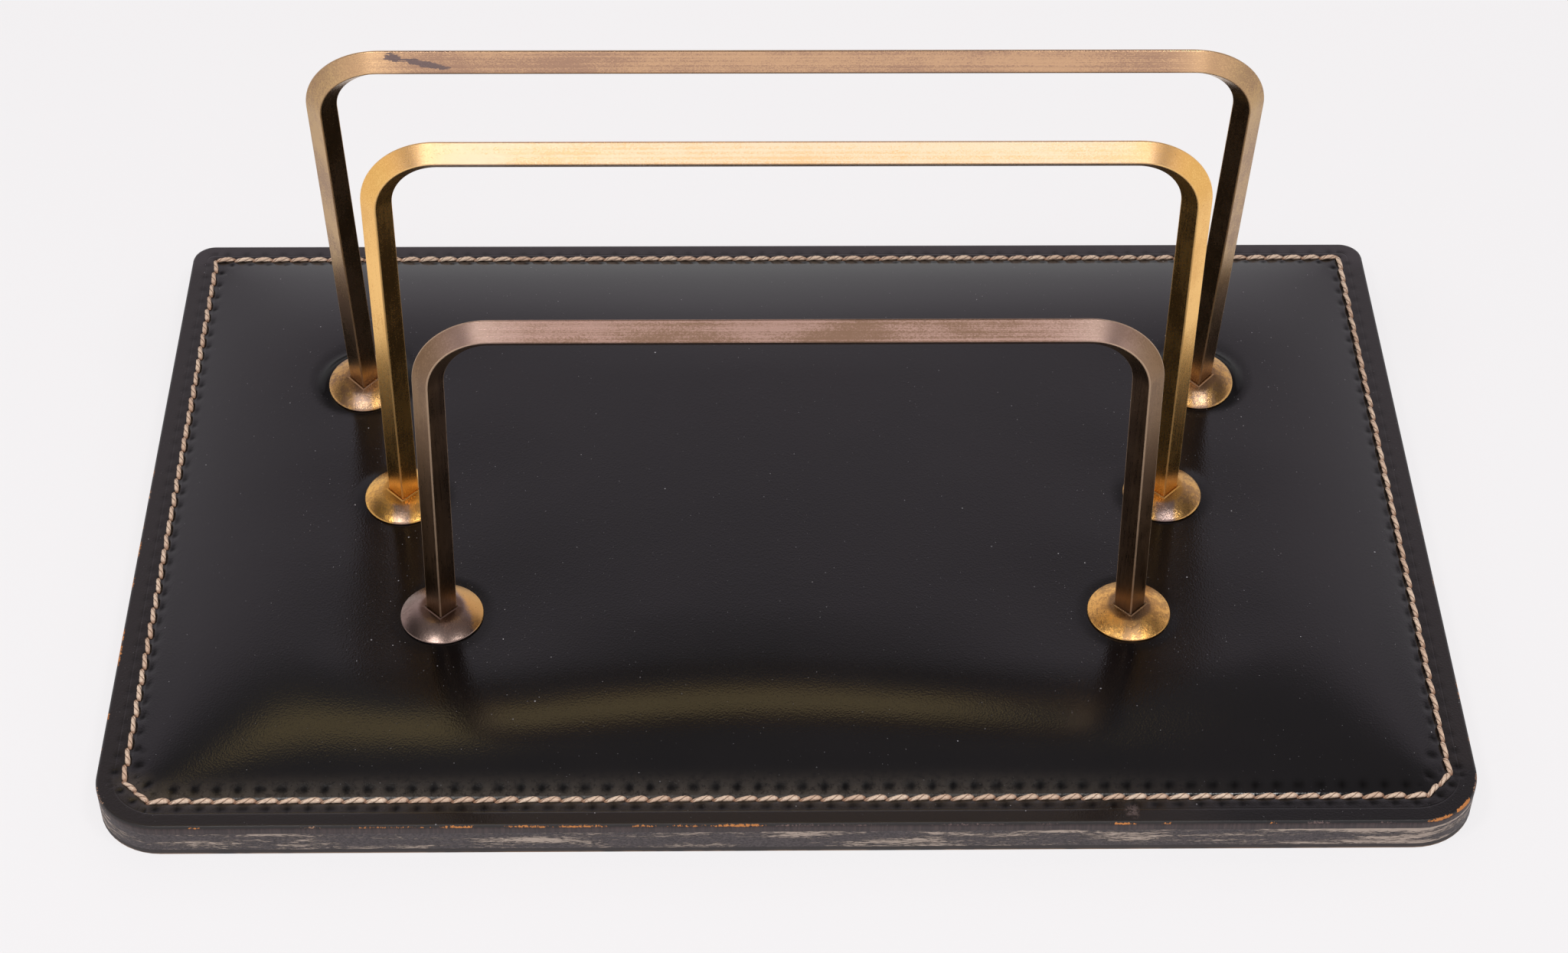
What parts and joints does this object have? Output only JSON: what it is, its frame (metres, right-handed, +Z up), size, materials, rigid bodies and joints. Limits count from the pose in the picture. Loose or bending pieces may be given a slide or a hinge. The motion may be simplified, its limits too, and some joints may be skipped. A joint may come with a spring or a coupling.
{
  "type": "letter rack",
  "caption": "Letter rack: a low padded leather base with a stitched margin carries upright bent square-bar hoops in graduated sizes, each foot in a domed collar.",
  "frame": {"origin": "middle of the base's underside, on the surface that it stands on", "axes": "+X to the right along the base's long side, +Y to the rear, towards the tallest hoop, +Z up"},
  "size_m": [0.304, 0.195, 0.1299],
  "materials": {
    "cover_leather": "smooth black leather, worn to a soft sheen",
    "lining_leather": "thin dark leather lining",
    "fibre_board": "raw edge of pressed fibre board, streaked pale and dark",
    "felt_padding": "pressed felt, hidden",
    "linen_thread": "waxed linen thread, cream to tan",
    "hoop_brass": "drawn brass with uneven brown patina",
    "collar_brass": "turned brass, polished and stained",
    "fixing_steel": "plain steel, hidden"
  },
  "bodies": {
    "root": {"top_cover": "cover_leather", "bottom_lining": "lining_leather", "upper_board": "fibre_board", "lower_board": "fibre_board", "padding": "felt_padding", "stitch_thread": "linen_thread", "fixing_screws": "fixing_steel", "fixing_washers": "fixing_steel", "rear_hoop": "hoop_brass", "middle_hoop": "hoop_brass", "front_hoop": "hoop_brass", "collar_rear_left": "collar_brass", "collar_rear_right": "collar_brass", "collar_middle_left": "collar_brass", "collar_middle_right": "collar_brass", "collar_front_left": "collar_brass", "collar_front_right": "collar_brass"}
  },
  "joints": []
}
